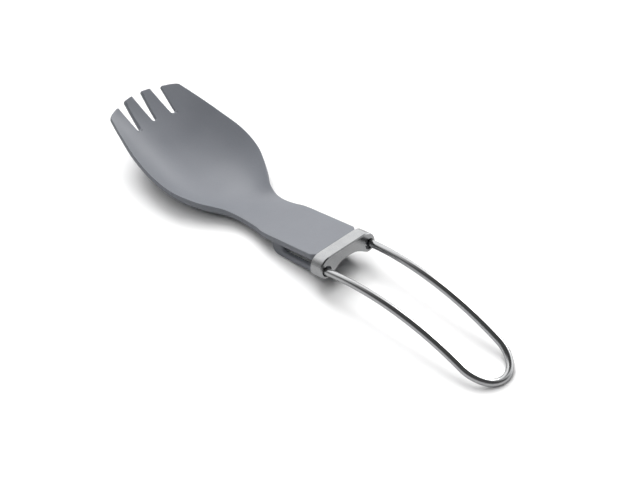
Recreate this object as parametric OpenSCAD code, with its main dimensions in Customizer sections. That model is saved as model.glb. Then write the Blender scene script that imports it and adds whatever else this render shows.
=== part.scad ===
// Folding spork: a moulded nylon head, a bent wire handle and a sliding lock collar.
// Millimetres. X runs from the tines (-) to the handle's loop (+), Z is up, and the
// origin lies on the table under the middle of the overall length.

/* [Overall] */
// Length over all, tine tips to loop end
total_l = 166; // [150:0.5:180]
// Length of the head from the tine tips to the lock collar
head_l = 95.9; // [88:0.1:104]

/* [Bowl] */
// Widest span between the bowl's inner edges
bowl_w = 39.2; // [35:0.2:43]
// Wall thickness of the bowl and of the neck plate
sheet_t = 2.1; // [1.8:0.05:2.6]
// Wall thickness at the tine tips
tip_t = 1.5; // [1.1:0.05:2]
// Height of the tine tips above the table
tip_z = 19.6; // [17:0.1:22]
// Steepness of the bowl's sides: 2 is a parabola, more is flatter in the middle
side_power = 2.5; // [2:0.1:3.2]

/* [Tines] */
// Slope of the tines along the head, in degrees
tine_slope = 33; // [28:0.5:38]
// Length of the middle slot between the tines, along the tine
slot_l = 11.4; // [9:0.1:14]
// Length of the two outer slots
outer_slot_l = 12.2; // [9.5:0.1:14.5]
// Distance between the slots' centre lines
slot_pitch = 7.4; // [6.8:0.1:8]
// Width of a slot at the tips
slot_mouth_w = 3.8; // [3:0.1:4.4]
// Width of a slot at its rounded root
slot_root_w = 1.6; // [1.2:0.1:2.2]
// Radius of the arc that the four tips lie on
tip_arc_r = 28; // [22:0.5:34]
// Rounding of the tine tips
tine_round_r = 0.45; // [0.3:0.05:1]
// Rounding of the outer tines' shoulders
shoulder_r = 3.4; // [2:0.1:4.5]

/* [Neck] */
// Rise of the neck towards the handle, in degrees
neck_tilt = 10.5; // [9:0.25:12]
// Height of the neck's top face at the collar
neck_top_z = 11.4; // [11:0.1:12.5]
// Width of the neck plate
neck_w = 19.1; // [18.6:0.1:20]
// Length of the straight neck plate
neck_l = 20.5; // [18:0.5:22]
// Rounding of the plate's corners at the collar
neck_round_r = 1.5; // [0.5:0.1:2.5]
// Distance between the outer faces of the two keel rails
rail_span = 16.6; // [16:0.1:16.8]
// Thickness of a keel rail
rail_t = 1.6; // [1.2:0.1:2]
// Length of the keel rails
rail_l = 21.6; // [20:0.2:23]
// Length of the slot in each keel rail
rail_slot_l = 17.4; // [14:0.2:18]
// Height of that slot
rail_slot_h = 3; // [2.4:0.1:3.2]
// Depth of the slot's centre line below the neck's top face
rail_slot_depth = 4.7; // [4.5:0.1:4.9]

/* [Lock collar] */
// Length of the collar along the neck
collar_l = 5; // [4.6:0.1:5.6]
// Width of the collar
collar_w = 23.6; // [23:0.1:24.4]
// Height of the collar, top band to the bottom of its lobes
collar_h = 6.9; // [6.6:0.1:7.6]
// How far the collar's top band stands above the neck plate
collar_proud = 0.45; // [0.2:0.05:0.8]
// Rounding of the collar's upper corners
collar_round_r = 4.2; // [3.4:0.1:4.4]
// Radius of the lobes round the wire holes
lobe_r = 2.5; // [2.3:0.1:2.8]
// Wall of the collar
collar_wall = 0.75; // [0.6:0.05:0.85]
// Rounding of the collar's front and back edges
collar_edge_r = 0.35; // [0.15:0.05:0.5]
// Diameter of the wire holes
wire_hole_d = 3.6; // [3.5:0.05:3.7]
// Distance between the wire holes
wire_hole_span = 18.4; // [18:0.1:18.8]
// Height of the arch in the collar's lower edge
arch_h = 3.2; // [2.4:0.1:3.6]
// Width of the arch at its foot
arch_w = 15; // [13:0.2:15.4]

/* [Wire handle] */
// Wire diameter
wire_d = 2.4; // [2.2:0.05:2.5]
// Distance between the wire arms at the pivot
arm_span = 19.2; // [19:0.1:19.3]
// Angle by which each arm runs inward, and each keel rail with it
arm_taper = 1.6; // [1:0.1:1.8]
// Radius of the handle's arch, seen from the side
arch_r = 96; // [90:1:104]
// Radius of the loop's shoulders
loop_shoulder_r = 12; // [10:0.5:13]
// Angle that the shoulders turn before the nose takes over
loop_shoulder_turn = 40; // [34:1:46]
// Radius of the bend between an arm and its pivot pin
pin_bend_r = 1.3; // [1.25:0.05:1.35]
// Length of the pivot pin from the arm's centre line
pin_l = 3.3; // [3:0.1:3.6]
// Distance of the pivot behind the collar's back edge
pivot_u = 2.2; // [2.1:0.1:2.4]
// Depth of the pivot below the neck's top face
pivot_depth = 3.75; // [3.6:0.05:4.1]

/* [Fits] */
// Radial clearance of the pivot pins in their bores
pin_fit = 0.05; // [0.02:0.01:0.09]
// Gap between the collar and the neck inside it
collar_gap = 0.3; // [0.2:0.05:0.35]

/* [Hidden] */
// Small overlaps that make neighbouring shapes one solid, and the reach of cuts past a face
tiny = 0.01;
sunk = 0.3;
overrun = 1;
tip_x = tip_t * sin(tine_slope) - total_l / 2;
neck_x = tip_x + head_l;
rise = tan(neck_tilt);
wire_r = wire_d / 2;
pin_r = wire_r + tiny;
bore_r = pin_r + pin_fit;

// Stations along the bowl, tine tips first: each is a share of the head's length from
// the collar, then the half width, rim height and spine height as shares of the bowl's
// half width and of the tip height. The last ones lie on the straight neck plate.
station_shares = [
    [1.03, 0.625, 1.12, 1.115],
    [0.94, 0.765, 0.965, 0.795],
    [0.866, 0.857, 0.852, 0.577],
    [0.772, 0.952, 0.712, 0.36],
    [0.668, 1, 0.594, 0.204],
    [0.579, 0.943, 0.486, 0.133],
    [0.5, 0.765, 0.398, 0.113],
    [0.428, 0.53, 0.334, 0.16],
    [0.375, 0.431, 0.29, 0.222],
    [0.334, 0.413, 0.288, 0.272]
];
neck_share = neck_l / head_l;
waist_share = 0.283;
stations = concat(station_shares, [
    [waist_share, 0.437, neck_line(waist_share) / tip_z, neck_line(waist_share) / tip_z],
    [(waist_share + neck_share) / 2, 0.475, neck_line((waist_share + neck_share) / 2) / tip_z,
        neck_line((waist_share + neck_share) / 2) / tip_z],
    [neck_share, neck_w / bowl_w, neck_line(neck_share) / tip_z, neck_line(neck_share) / tip_z]
]);
rows = 44;
columns = 24;

// Part of the length over which the wall thins towards the tips
thin_share = 0.8;
// How late the wall turns upright towards the rim: a high power turns it near the edge alone
rim_power = 4;
// Distance between the points that a slope is read from
step_share = 0.002;

// Height of the neck's top face at a share of the head's length from the collar
function neck_line(share) = neck_top_z - share * head_l * rise;

// Smooth curve through the stations (monotone cubic), k is the column that is read
function slope_at(k, i) =
    let (n = len(stations) - 1, a = max(i - 1, 0), b = min(i + 1, n))
    (stations[b][k] - stations[a][k]) / (stations[b][0] - stations[a][0]);
function span_of(share, i = 0) =
    i >= len(stations) - 2 || share > stations[i + 1][0] ? i : span_of(share, i + 1);
function read(k, share) =
    let (i = span_of(share), a = stations[i], b = stations[i + 1], h = b[0] - a[0],
        t = (share - a[0]) / h, t2 = t * t, t3 = t2 * t)
    (2 * t3 - 3 * t2 + 1) * a[k] + (t3 - 2 * t2 + t) * h * slope_at(k, i)
    + (3 * t2 - 2 * t3) * b[k] + (t3 - t2) * h * slope_at(k, i + 1);

// Point of the bowl's upper face: share along the head, v across it from -1 to 1
function upper(share, v) =
    let (rim = read(2, share) * tip_z, spine = read(3, share) * tip_z)
    [neck_x - share * head_l, v * read(1, share) * bowl_w / 2,
        spine + (rim - spine) * pow(abs(v), side_power)];
function normal(share, v) =
    let (d = step_share, along = upper(share - d, v) - upper(share + d, v),
        across = upper(share, v + d) - upper(share, v - d), c = cross(along, across))
    c / norm(c);
function wall_at(share) =
    let (fade = min(max((share - thin_share) / (1 - thin_share), 0), 1)) sheet_t + (tip_t - sheet_t) * fade;
// The wall runs square to the sheet inside, and turns upright towards the rim, as it leaves its mould
function through(share, v) =
    let (n = normal(share, v), d = [n[0], n[1] * (1 - pow(abs(v), rim_power)), n[2]]) d / norm(d);
function lower(share, v) = upper(share, v) - wall_at(share) * through(share, v);

first_share = stations[0][0];
function row_share(i) = first_share + (neck_share - first_share) * i / rows;
function column_v(j) = sin(90 * (2 * j / columns - 1));

// Closed sheet between the upper and lower faces, as rings round each row
module bowl_sheet() {
    ring = 2 * (columns + 1);
    points = [for (i = [0:rows]) each concat(
        [for (j = [0:columns]) upper(row_share(i), column_v(j))],
        [for (j = [columns:-1:0]) lower(row_share(i), column_v(j))])];
    sides = [for (i = [0:rows - 1], k = [0:ring - 1]) let (a = i * ring + k,
        b = i * ring + (k + 1) % ring) each [[a, b + ring, a + ring], [a, b, b + ring]]];
    ends = [for (j = [0:columns - 1]) let (a = j, b = ring - 1 - j, f = rows * ring)
        each [[a, b - 1, a + 1], [a, b, b - 1], [f + a, f + a + 1, f + b - 1], [f + a, f + b - 1, f + b]]];
    polyhedron(points = points, faces = concat(sides, ends), convexity = 8);
}

// Frame of the tines: x runs down the tines from the tip arc, y across
module tine_frame() {
    translate([tip_x, 0, tip_z]) rotate([0, tine_slope, 0]) children();
}

// Plan of the head in the tine frame, without the slots: tip arc, shoulders, open sides
shoulder_x = 6.4;
shoulder_y = 11.6;
far_x = 1.5 * head_l;
module head_plan() {
    hull() {
        intersection() {
            translate([tip_arc_r, 0]) circle(r = tip_arc_r, $fn = 180);
            translate([0, -shoulder_y]) square([tip_arc_r, 2 * shoulder_y]);
        }
        for (side = [-1, 1]) translate([shoulder_x, side * shoulder_y]) circle(r = shoulder_r, $fn = 48);
        translate([far_x / 2, -bowl_w]) square([far_x, 2 * bowl_w]);
    }
}

// One tapered slot with a rounded root
module tine_slot(length) {
    root_r = slot_root_w / 2;
    root_x = length - root_r;
    translate([root_x, 0]) circle(r = root_r, $fn = 32);
    polygon([[-overrun, -slot_mouth_w / 2], [0, -slot_mouth_w / 2], [root_x, -root_r],
        [root_x, root_r], [0, slot_mouth_w / 2], [-overrun, slot_mouth_w / 2]]);
}

module comb_plan() {
    offset(r = tine_round_r, $fn = 32) offset(delta = -tine_round_r) difference() {
        head_plan();
        tine_slot(slot_l);
        for (side = [-1, 1]) translate([0, side * slot_pitch]) tine_slot(outer_slot_l);
    }
}

// Frame of the neck: x along the neck from the collar's back edge, z up from the top face
module neck_frame() {
    translate([neck_x, 0, neck_top_z]) rotate([0, -neck_tilt, 0]) children();
}

// The plate starts where the bowl's last row ends, square to the neck's slope, and lies a
// hair inside it on every side
plate_l = neck_l / cos(neck_tilt);
seam = 0.03;
module neck_plate() {
    lap = 0.7 * sunk;
    half_w = neck_w / 2 - seam;
    translate([0, 0, seam - sheet_t]) linear_extrude(height = sheet_t - 2 * seam) {
        translate([-plate_l - lap, -half_w]) square([plate_l + lap - neck_round_r, 2 * half_w]);
        translate([-neck_round_r - tiny, neck_round_r - half_w])
            square([neck_round_r + tiny, 2 * (half_w - neck_round_r)]);
        for (side = [-1, 1]) translate([-neck_round_r, side * (half_w - neck_round_r)])
            circle(r = neck_round_r, $fn = 48);
    }
}

// Part of the neck that the collar covers: lower than the plate and shorter than the rails
collar_start = 0.2;
spigot_l = collar_start + collar_l - collar_wall - collar_gap;
spigot_top = collar_proud - collar_wall - collar_gap;
spigot_bottom = collar_proud - collar_h + collar_wall + collar_gap;

// The rails' rounded front feet stand on the table
foot_r = 2.4;
rail_depth = foot_r + (neck_top_z - (rail_l - foot_r) * sin(neck_tilt) - foot_r) / cos(neck_tilt);

module rail_profile() {
    top = sunk - sheet_t;
    difference() {
        union() {
            translate([-rail_l, -rail_depth + foot_r]) square([rail_l, rail_depth - foot_r + top]);
            translate([foot_r - rail_l, -rail_depth]) square([rail_l - foot_r, foot_r + tiny]);
            translate([foot_r - rail_l, -rail_depth + foot_r]) circle(r = foot_r, $fn = 64);
        }
        rail_slot();
    }
}

// Wall of the spigot, as deep as the collar's pocket allows
spigot_end_r = 1.1;
module spigot_profile() {
    difference() {
        union() {
            translate([-tiny, spigot_bottom + spigot_end_r])
                square([spigot_l + tiny, spigot_top - spigot_bottom - 2 * spigot_end_r]);
            translate([-tiny, spigot_bottom])
                square([spigot_l - spigot_end_r + tiny, spigot_top - spigot_bottom]);
            for (z = [spigot_bottom + spigot_end_r, spigot_top - spigot_end_r])
                translate([spigot_l - spigot_end_r, z]) circle(r = spigot_end_r, $fn = 48);
        }
        rail_slot();
    }
}

// Long slot with a rounded front end, its other end hidden under the collar
hidden_l = 0.35;
module rail_slot() {
    slot_r = rail_slot_h / 2;
    translate([slot_r - rail_slot_l, -rail_slot_depth]) circle(r = slot_r, $fn = 64);
    translate([slot_r - rail_slot_l, -rail_slot_depth - slot_r])
        square([rail_slot_l - slot_r + hidden_l, rail_slot_h]);
}

module upright(thick) {
    translate([0, thick, 0]) rotate([90, 0, 0]) linear_extrude(height = thick) children();
}

// One rail and the spigot wall behind it; the rail runs inward with the wire arm
module keel_rail() {
    translate([0, rail_span / 2, 0]) {
        rotate([0, 0, arm_taper]) translate([0, -rail_t, 0]) upright(rail_t) rail_profile();
        translate([0, -rail_t, 0]) upright(rail_t) spigot_profile();
    }
}

// Plate of the spigot, between its two walls
module spigot_plate() {
    w = rail_span - rail_t;
    translate([-neck_round_r, -w / 2, -sheet_t])
        cube([neck_round_r + spigot_l - spigot_end_r, w, sheet_t + spigot_top]);
}

module head() {
    color([0.56, 0.57, 0.59]) {
        intersection() {
            bowl_sheet();
            tine_frame() translate([0, 0, -total_l / 2]) linear_extrude(height = total_l) comb_plan();
        }
        neck_frame() difference() {
            union() {
                neck_plate();
                keel_rail();
                mirror([0, 1, 0]) keel_rail();
                spigot_plate();
            }
            translate([pivot_u, 0, -pivot_depth]) rotate([90, 0, 0])
                cylinder(r = bore_r, h = collar_w, center = true, $fn = 64);
        }
    }
}

// Outline of the collar seen along the neck, shrunk by inset on every side
lobe_y = collar_w / 2 - lobe_r;
lobe_z = collar_proud - collar_h + lobe_r;
corner_y = collar_w / 2 - collar_round_r;
corner_z = collar_proud - collar_round_r;
module collar_outline(inset) {
    w = collar_w / 2 - inset;
    corner_r = collar_round_r - inset;
    translate([-w, lobe_z]) square([2 * w, corner_z - lobe_z]);
    translate([-corner_y, corner_z - tiny]) square([2 * corner_y, corner_r + tiny]);
    for (side = [-1, 1]) {
        translate([side * corner_y, corner_z]) circle(r = corner_r, $fn = 64);
        translate([side * lobe_y, lobe_z]) circle(r = lobe_r - inset, $fn = 64);
    }
    translate([-lobe_y, lobe_z - lobe_r + inset]) square([2 * lobe_y, lobe_r]);
}

// Arch between the lobes: a circle through its foot and crown
arch_crown = collar_proud - collar_h + arch_h;
arch_cut_r = (arch_w * arch_w / 4 + arch_h * arch_h) / (2 * arch_h);
module arch_cut() {
    translate([collar_start - overrun, 0, arch_crown - arch_cut_r]) rotate([0, 90, 0])
        cylinder(r = arch_cut_r, h = collar_l + 2 * overrun, $fn = 180);
}

module along_neck(from, length) {
    translate([from, 0, 0]) rotate([90, 0, 90]) linear_extrude(height = length) children();
}

// Block of the collar with its front and back edges bevelled
module collar_block() {
    e = collar_edge_r;
    hull() {
        along_neck(collar_start + e, collar_l - 2 * e) collar_outline(0);
        along_neck(collar_start, collar_l) collar_outline(e);
    }
}

hole_z = -pivot_depth - wire_r / 12;
module lock_collar() {
    color([0.72, 0.73, 0.73]) neck_frame() difference() {
        collar_block();
        arch_cut();
        along_neck(collar_start - overrun, collar_l - collar_wall + overrun) collar_outline(collar_wall);
        for (side = [-1, 1]) translate([collar_l / 2, side * wire_hole_span / 2, hole_z])
            rotate([0, 90, 0]) cylinder(d = wire_hole_d, h = collar_l, $fn = 64);
    }
}

// The wire's centre line in the pivot's frame: x along the arm at the pivot, z up. A bend
// out of the pin, an arched arm turned inward by the taper, then the loop's shoulder and
// its nose in the plane that both arms' ends share.
pivot = [neck_x + pivot_u * cos(neck_tilt) + pivot_depth * sin(neck_tilt), 0,
    neck_top_z + pivot_u * sin(neck_tilt) - pivot_depth * cos(neck_tilt)];
nose = [total_l / 2 - wire_r, 0, wire_r];
bend_end = [pin_bend_r * (1 + sin(arm_taper)), arm_span / 2 - pin_bend_r * (1 - cos(arm_taper)), 0];

// For an arch that turns by a: the arm's end, the slope of the loop's plane, the heading in it
function arm_end(a) = bend_end
    + arch_r * [sin(a) * cos(arm_taper), -sin(a) * sin(arm_taper), cos(a) - 1];
function plane_slope(a) = atan2(sin(a), cos(arm_taper) * cos(a));
function heading(a) = asin(sin(arm_taper) * cos(a));
function nose_r(a) = (arm_end(a)[1] - loop_shoulder_r * (cos(heading(a)) - cos(loop_shoulder_turn)))
    / cos(loop_shoulder_turn);
function loop_l(a) = loop_shoulder_r * (sin(loop_shoulder_turn) - sin(heading(a)))
    + nose_r(a) * (1 - sin(loop_shoulder_turn));
function nose_at(a) = [arm_end(a)[0] + loop_l(a) * cos(plane_slope(a)), 0,
    arm_end(a)[2] - loop_l(a) * sin(plane_slope(a))];

// The arch turns as far as it takes to lay the nose on the table at the full length
function arch_turn(low, high, left) = let (mid = (low + high) / 2)
    left == 0 ? mid : norm(nose_at(mid)) < norm(nose - pivot)
        ? arch_turn(mid, high, left - 1) : arch_turn(low, mid, left - 1);
turn = arch_turn(10, 60, 40);
launch = atan2(nose[2] - pivot[2], nose[0] - pivot[0]) - atan2(nose_at(turn)[2], nose_at(turn)[0]);
arch_centre = pivot + [bend_end[0] * cos(launch) + arch_r * sin(launch), 0,
    bend_end[0] * sin(launch) - arch_r * cos(launch)];
echo(pivot = pivot, arch_centre = arch_centre, launch = launch, turn = turn, nose_r = nose_r(turn));

// Each stretch lists [point, direction]. In the loop's plane, a is the angle off the arm's line.
function in_plane(along, across) = [along * cos(plane_slope(turn)), across, -along * sin(plane_slope(turn))];
function bend_at(a) = [[pin_bend_r * (1 + cos(a)), arm_span / 2 - pin_bend_r * (1 - sin(a)), 0],
    [sin(a), -cos(a), 0]];
function arm_at(a) = [arm_end(a), [cos(arm_taper) * cos(a), -sin(arm_taper) * cos(a), -sin(a)]];
function turn_at(start, r, from, a) = [start + r * in_plane(sin(a) - sin(from), cos(a) - cos(from)),
    in_plane(cos(a), -sin(a))];
shoulder_end = turn_at(arm_end(turn), loop_shoulder_r, heading(turn), loop_shoulder_turn)[0];
function other_side(p) = [[p[0][0], -p[0][1], p[0][2]], [-p[1][0], p[1][1], -p[1][2]]];

bend_steps = 7;
arm_steps = 22;
shoulder_steps = 6;
nose_steps = 8;
half_line = concat(
    [for (i = [0:bend_steps - 1]) bend_at(180 - (90 + arm_taper) * i / bend_steps)],
    [for (i = [0:arm_steps - 1]) arm_at(turn * i / arm_steps)],
    [for (i = [0:shoulder_steps - 1]) turn_at(arm_end(turn), loop_shoulder_r, heading(turn),
        heading(turn) + (loop_shoulder_turn - heading(turn)) * i / shoulder_steps)],
    [for (i = [0:nose_steps]) turn_at(shoulder_end, nose_r(turn), loop_shoulder_turn,
        loop_shoulder_turn + (90 - loop_shoulder_turn) * i / nose_steps)]);
half_n = len(half_line);
wire_line = concat(half_line, [for (i = [half_n - 2:-1:0]) other_side(half_line[i])]);

// Round bar carried along the centre line, from one pin to the other
wire_sides = 24;
module wire_bar() {
    last = len(wire_line) - 1;
    points = [for (p = wire_line) let (t = p[1], b = [t[1], -t[0], 0] / norm([t[0], t[1]]), c = cross(b, t))
        each [for (k = [0:wire_sides - 1]) let (a = 360 * k / wire_sides)
            p[0] + wire_r * (cos(a) * b + sin(a) * c)]];
    skin = [for (i = [0:last - 1], k = [0:wire_sides - 1])
        let (a = i * wire_sides + k, b = i * wire_sides + (k + 1) % wire_sides)
        each [[a, b, b + wire_sides], [a, b + wire_sides, a + wire_sides]]];
    ends = [[for (k = [wire_sides - 1:-1:0]) k], [for (k = [0:wire_sides - 1]) last * wire_sides + k]];
    polyhedron(points = points, faces = concat(skin, ends), convexity = 8);
}

// Pin at the end of the bend, turning in the rail's bore
module pivot_pin() {
    lap = sunk / 4;
    translate([0, arm_span / 2 - pin_bend_r + lap, 0]) rotate([90, 0, 0])
        cylinder(r = pin_r, h = pin_l - pin_bend_r + lap, $fn = 48);
}

module wire_handle() {
    color([0.78, 0.79, 0.8]) translate(pivot) rotate([0, -launch, 0]) {
        wire_bar();
        pivot_pin();
        mirror([0, 1, 0]) pivot_pin();
    }
}

head();
lock_collar();
wire_handle();
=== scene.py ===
"""Folding spork on a white table: a moulded nylon head, a pressed steel lock collar and a
bent wire handle. Lengths are worked out in millimetres and written to the meshes in metres."""

import bmesh
import bpy
import numpy as np
from mathutils import Matrix, Vector
from mathutils.geometry import delaunay_2d_cdt


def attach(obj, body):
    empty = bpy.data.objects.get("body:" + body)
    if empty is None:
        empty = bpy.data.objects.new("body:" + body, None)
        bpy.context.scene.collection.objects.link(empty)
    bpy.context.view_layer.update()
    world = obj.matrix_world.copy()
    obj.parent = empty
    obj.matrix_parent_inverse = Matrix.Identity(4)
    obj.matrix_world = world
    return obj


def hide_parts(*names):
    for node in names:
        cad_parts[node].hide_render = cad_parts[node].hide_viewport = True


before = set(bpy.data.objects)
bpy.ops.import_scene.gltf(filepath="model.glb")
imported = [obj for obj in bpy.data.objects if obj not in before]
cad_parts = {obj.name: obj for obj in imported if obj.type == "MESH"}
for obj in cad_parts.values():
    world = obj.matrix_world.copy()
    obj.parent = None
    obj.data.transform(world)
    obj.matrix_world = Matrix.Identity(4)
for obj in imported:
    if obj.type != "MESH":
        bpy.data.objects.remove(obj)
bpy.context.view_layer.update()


# Nylon head, the sheet. The head is one injection moulding. Its bowl, tines and flat neck are
# a single curved sheet, 2.1 mm thick and thinner at the tips, with softened edges all round.

# Lengths of the whole and of the head, widths of the bowl and of the neck
TOTAL, HEAD, BOWL_W, NECK_W = 166.0, 95.9, 39.2, 19.1
# Thickness of the sheet and of the tips, height of the tips, power of the bowl's cross-section
SHEET, TIP_SHEET, TIP_Z, SIDE_POWER = 2.1, 1.5, 19.6, 2.5
# Slopes of the tines and of the neck, height of the neck's top at its end
TINE_SLOPE, NECK_TILT, NECK_TOP = np.radians(33.0), np.radians(10.5), 11.4
# Length of the flat neck, rounding of its end corners, and the waist's place as a share of the
# head's length from the collar
NECK_L, NECK_CORNER_R, WAIST = 20.5, 1.5, 0.283
# Rounding of the sheet's edges, and how far in from them points make room for it
EDGE, EDGE_REACH = 0.32, 1.3
TIP_X = TIP_SHEET * np.sin(TINE_SLOPE) - TOTAL / 2
NECK_X = TIP_X + HEAD


def neck_line(share):
    """Height of the neck's top at a share of the head's length from the collar: a straight rise."""
    return NECK_TOP - share * HEAD * np.tan(NECK_TILT)


# Stations of the bowl: share from the collar, then half width, rim height and spine height as
# shares of the bowl's half width and the tips' height. Those of the neck lie on its line.
bowl_stations = np.array([
    [1.03, 0.625, 1.12, 1.115], [0.94, 0.765, 0.965, 0.795], [0.866, 0.857, 0.852, 0.577],
    [0.772, 0.952, 0.712, 0.36], [0.668, 1.0, 0.594, 0.204], [0.579, 0.943, 0.486, 0.133],
    [0.5, 0.765, 0.398, 0.113], [0.428, 0.53, 0.334, 0.16], [0.375, 0.431, 0.29, 0.222],
    [0.334, 0.413, 0.288, 0.272]])
neck_widths = np.array([[WAIST, 0.437], [(WAIST + NECK_L / HEAD) / 2, 0.475],
                        [NECK_L / HEAD, NECK_W / BOWL_W]])
on_line = neck_line(neck_widths[:, :1]) / TIP_Z
STATIONS = np.vstack([bowl_stations, np.hstack([neck_widths, on_line, on_line])])[::-1]


def cubic(t, span, start, leave, end, arrive):
    """Cubic from start to end while t goes from 0 to 1 over a span; leave and arrive are slopes."""
    return ((2 * t**3 - 3 * t**2 + 1) * start + (t**3 - 2 * t**2 + t) * span * leave
            + (3 * t**2 - 2 * t**3) * end + (t**3 - t**2) * span * arrive)


def station(column, share):
    """One column of the stations as a chain of cubics. Past the neck's end it stays on the neck."""
    at, value = STATIONS[:, 0], STATIONS[:, column]
    slope = np.gradient(value, at)
    slope[1:-1] = (value[2:] - value[:-2]) / (at[2:] - at[:-2])
    inside = np.clip(share, at[0], at[-1])
    i = np.clip(np.searchsorted(at, inside, side="right") - 1, 0, len(at) - 2)
    span = at[i + 1] - at[i]
    smooth = cubic((inside - at[i]) / span, span, value[i], slope[i], value[i + 1], slope[i + 1])
    return np.where(share < at[0], value[0] if column == 1 else neck_line(share) / TIP_Z, smooth)


def half_width(share):
    """Half width of the sheet."""
    return station(1, share) * BOWL_W / 2


def sheet_top(share, v):
    """Top of the sheet: v runs from edge to edge, -1 to 1, and the height climbs from the spine to
    the rim as |v|^2.5."""
    spine, rim = station(3, share) * TIP_Z, station(2, share) * TIP_Z
    return np.stack([NECK_X - share * HEAD, v * half_width(share),
                     spine + (rim - spine) * np.abs(v) ** SIDE_POWER], axis=-1)


def unit(vectors):
    """Vectors scaled to length one."""
    return vectors / np.maximum(np.linalg.norm(vectors, axis=-1, keepdims=True), 1e-12)


def sheet_normal(share, v):
    """Upward normal of the sheet: the cross product of a small step along it and one across it."""
    d = 0.002
    return unit(np.cross(sheet_top(share - d, v) - sheet_top(share + d, v),
                         sheet_top(share, v + d) - sheet_top(share, v - d)))


def through_wall(share, v):
    """Direction through the wall: the sheet's normal, whose sideways part fades as |v|^4 towards
    the rim, because the edge stands upright as it leaves its mould."""
    fade = 1 - np.minimum(np.abs(v), 1) ** 4
    return unit(sheet_normal(share, v) * np.stack([np.ones_like(v), fade, np.ones_like(v)], -1))


def sheet_thickness(share):
    """Thickness of the sheet, thinning evenly over the last fifth towards the tips."""
    return SHEET + (TIP_SHEET - SHEET) * np.clip((share - 0.8) / 0.2, 0, 1)


# The tines are drawn in their own slope, where a is the distance down from the tips

# Lengths of the middle and outer slots, their pitch, width at the mouth, radius of the root
SLOT_L, OUTER_SLOT_L, SLOT_PITCH, SLOT_MOUTH, SLOT_ROOT_R = 11.4, 12.2, 7.4, 3.8, 0.8
# Radius of the arc that the tips follow, and of the tines' small corners
TIP_ARC, CORNER_R = 28.0, 0.45
# The outer tines' shoulder: where it ends, its radius, where a curve leaves the tips' arc for
# it, and how far the shoulder's round has turned where the curve meets it
SHOULDER_A, SHOULDER_R, ARC_END, SHOULDER_MET = 6.4, 3.4, 10.4, np.radians(35.0)
# A width past both edges of the sheet, for points that are wanted on the edge itself
OUTSIDE = 30.0
DOWN_TINE = np.array([np.cos(TINE_SLOPE), 0, -np.sin(TINE_SLOPE)])


def share_at(a, y):
    """Share and v of the point that lies at width y, a distance a down the tines: Newton's steps
    on the distance."""
    def across(share):
        return np.clip(y / half_width(share), -1.0, 1.0)

    def distance(share):
        return (sheet_top(share, across(share)) - [TIP_X, 0, TIP_Z]) @ DOWN_TINE

    d = 1e-4
    share = 1 - a * np.cos(TINE_SLOPE) / HEAD
    for _ in range(12):
        slope = (distance(share + d) - distance(share - d)) / (2 * d)
        share = share - (distance(share) - a) / slope
    return share, across(share)


def slot_half_width(a, length):
    """Half width of a slot: a straight taper from the mouth, closed by a half round at the root."""
    centre = length - SLOT_ROOT_R
    taper = SLOT_MOUTH / 2 + (SLOT_ROOT_R - SLOT_MOUTH / 2) * a / centre
    root = np.sqrt(np.clip(SLOT_ROOT_R**2 - (a - centre) ** 2, 0, None))
    return np.where(a < centre, taper, root)


def root_line(y):
    """Distance down at which the slots end: it grows as the square of the width."""
    return SLOT_L + (OUTER_SLOT_L - SLOT_L) * np.clip(np.abs(y) / SLOT_PITCH, 0, 1) ** 2


shoulder_share = share_at(np.array([SHOULDER_A]), np.array([OUTSIDE]))[0]
side_y = float(half_width(shoulder_share)[0])
shoulder_y = side_y - SHOULDER_R


def tip_line(y, corners=()):
    """Distance down of a tine's end: the arc of the tips, with a quarter round at each corner. Past
    the arc's end a cubic leads onto the shoulder's round."""
    drop = np.zeros_like(y)
    for edge, inward in corners:
        x = np.clip(CORNER_R - (y - edge) * inward, 0, CORNER_R)
        drop += CORNER_R - np.sqrt(CORNER_R**2 - x**2)
    y = np.abs(y)
    arc_at = np.sqrt(TIP_ARC**2 - np.minimum(y, ARC_END) ** 2)
    end_at = np.sqrt(TIP_ARC**2 - ARC_END**2)
    span = shoulder_y + SHOULDER_R * np.sin(SHOULDER_MET) - ARC_END
    blend = cubic(np.clip((y - ARC_END) / span, 0, 1), span, TIP_ARC - end_at, ARC_END / end_at,
                  SHOULDER_A - SHOULDER_R * np.cos(SHOULDER_MET), np.tan(SHOULDER_MET))
    out = np.clip(y - shoulder_y, 0, SHOULDER_R)
    shoulder = SHOULDER_A - np.sqrt(np.clip(SHOULDER_R**2 - out**2, 0, None))
    past_arc = np.where(y < ARC_END + span, blend, shoulder)
    return np.where(y < ARC_END, TIP_ARC - arc_at, past_arc) + drop


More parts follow.
